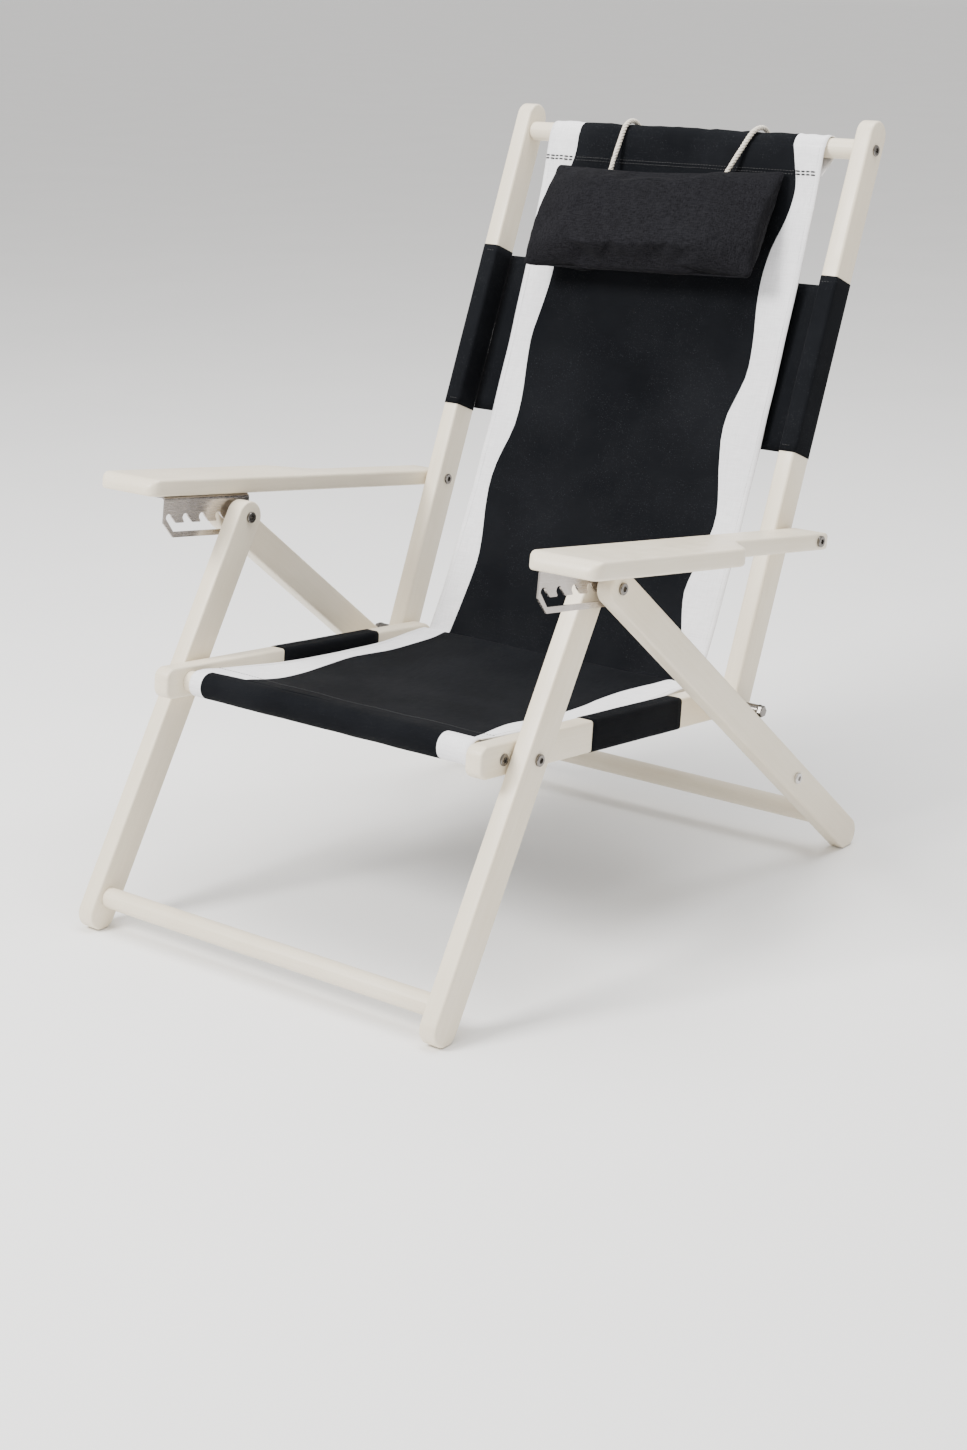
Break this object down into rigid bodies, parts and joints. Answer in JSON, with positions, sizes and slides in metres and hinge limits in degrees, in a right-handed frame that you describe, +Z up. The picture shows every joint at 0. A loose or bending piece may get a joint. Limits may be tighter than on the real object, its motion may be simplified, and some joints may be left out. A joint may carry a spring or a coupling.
{
  "type": "folding beach chair",
  "caption": "Folding wooden beach chair with a fabric sling seat and back, notched reclining arms, a hung head pillow and a rear pouch.",
  "frame": {"origin": "on the ground, at the middle of the chair's footprint box", "axes": "+Z up; the sitter faces -Y; +X is towards the arm on the right of a view from the front"},
  "size_m": [0.702, 0.8413, 0.8681],
  "materials": {
    "painted_wood": "satin off-white paint",
    "stainless_steel": "brushed",
    "black_canvas": "matt woven canvas, with off-white side borders on the sling",
    "charcoal_linen": "matt slub weave",
    "cotton_rope": "twisted three-strand"
  },
  "bodies": {
    "front_frame": {"front_leg_left": "painted_wood", "front_leg_right": "painted_wood", "front_stretcher": "painted_wood", "apex_nut_left": "stainless_steel", "apex_nut_right": "stainless_steel", "seat_pivot_bolt_left": "stainless_steel", "seat_pivot_bolt_right": "stainless_steel"},
    "rear_frame": {"rear_leg_left": "painted_wood", "rear_leg_right": "painted_wood", "rear_stretcher": "painted_wood", "apex_bolt_left": "stainless_steel", "apex_bolt_right": "stainless_steel", "rear_leg_bolt_left": "stainless_steel", "rear_leg_bolt_right": "stainless_steel"},
    "seat_frame": {"seat_rail_left": "painted_wood", "seat_rail_right": "painted_wood", "seat_front_dowel": "painted_wood", "seat_rear_dowel": "painted_wood", "front_dowel_screw_left": "stainless_steel", "front_dowel_screw_right": "stainless_steel", "seat_sling": "black_canvas", "seat_band": "black_canvas", "seat_sleeve_left": "black_canvas", "seat_sleeve_right": "black_canvas"},
    "back_pivot": {"back_pivot_bolt_left": "stainless_steel", "back_pivot_bolt_right": "stainless_steel", "back_pivot_sleeve_left": "stainless_steel", "back_pivot_sleeve_right": "stainless_steel"},
    "back_frame": {"back_rail_left": "painted_wood", "back_rail_right": "painted_wood", "top_dowel": "painted_wood", "top_dowel_screw_left": "stainless_steel", "top_dowel_screw_right": "stainless_steel", "back_sling": "black_canvas", "back_pouch": "black_canvas", "back_sleeve_left": "black_canvas", "back_sleeve_right": "black_canvas", "pillow": "charcoal_linen", "pillow_rope_left": "cotton_rope", "pillow_rope_right": "cotton_rope"},
    "arm_pivot": {"arm_pivot_bolt_left": "stainless_steel", "arm_pivot_bolt_right": "stainless_steel", "arm_pivot_nut_left": "stainless_steel", "arm_pivot_nut_right": "stainless_steel"},
    "arms": {"arm_left": "painted_wood", "arm_right": "painted_wood", "arm_bracket_left": "stainless_steel", "arm_bracket_right": "stainless_steel", "bracket_screw_front_left": "stainless_steel", "bracket_screw_front_right": "stainless_steel", "bracket_screw_rear_left": "stainless_steel", "bracket_screw_rear_right": "stainless_steel"}
  },
  "joints": [
    {"name": "fold", "type": "hinge", "parent": "front_frame", "child": "rear_frame", "pos_m": [0, -0.1478, 0.4271], "axis": [-1, 0, 0], "range_deg": [0, 81.5]},
    {"name": "seat_fold", "type": "hinge", "parent": "front_frame", "child": "seat_frame", "pos_m": [0, -0.25026, 0.26224], "axis": [-1, 0, 0], "range_deg": [0, 109.6], "deforming": ["seat_sling"]},
    {"name": "back_fold", "type": "hinge", "parent": "seat_frame", "child": "back_pivot", "pos_m": [0, 0.13294, 0.22298], "axis": [1, 0, 0], "range_deg": [0, 100.2], "deforming": ["back_sling"]},
    {"name": "recline", "type": "hinge", "parent": "back_pivot", "child": "back_frame", "pos_m": [0, 0.13294, 0.22298], "axis": [-1, 0, 0], "range_deg": [0, 36]},
    {"name": "arm_fold", "type": "hinge", "parent": "back_frame", "child": "arm_pivot", "pos_m": [0, 0.21329, 0.40973], "axis": [-1, 0, 0], "range_deg": [0, 106.2]},
    {"name": "arm_level", "type": "hinge", "parent": "arm_pivot", "child": "arms", "pos_m": [0, 0.21329, 0.40973], "axis": [1, 0, 0], "range_deg": [0, 27.64]}
  ],
  "couplings": [
    {"joint": "seat_fold", "follows": "fold", "ratio": 1.3423},
    {"joint": "back_fold", "follows": "fold", "ratio": 1.227},
    {"joint": "arm_fold", "follows": "fold", "ratio": 1.3006},
    {"joint": "arm_level", "follows": "recline", "ratio": 0.765}
  ]
}
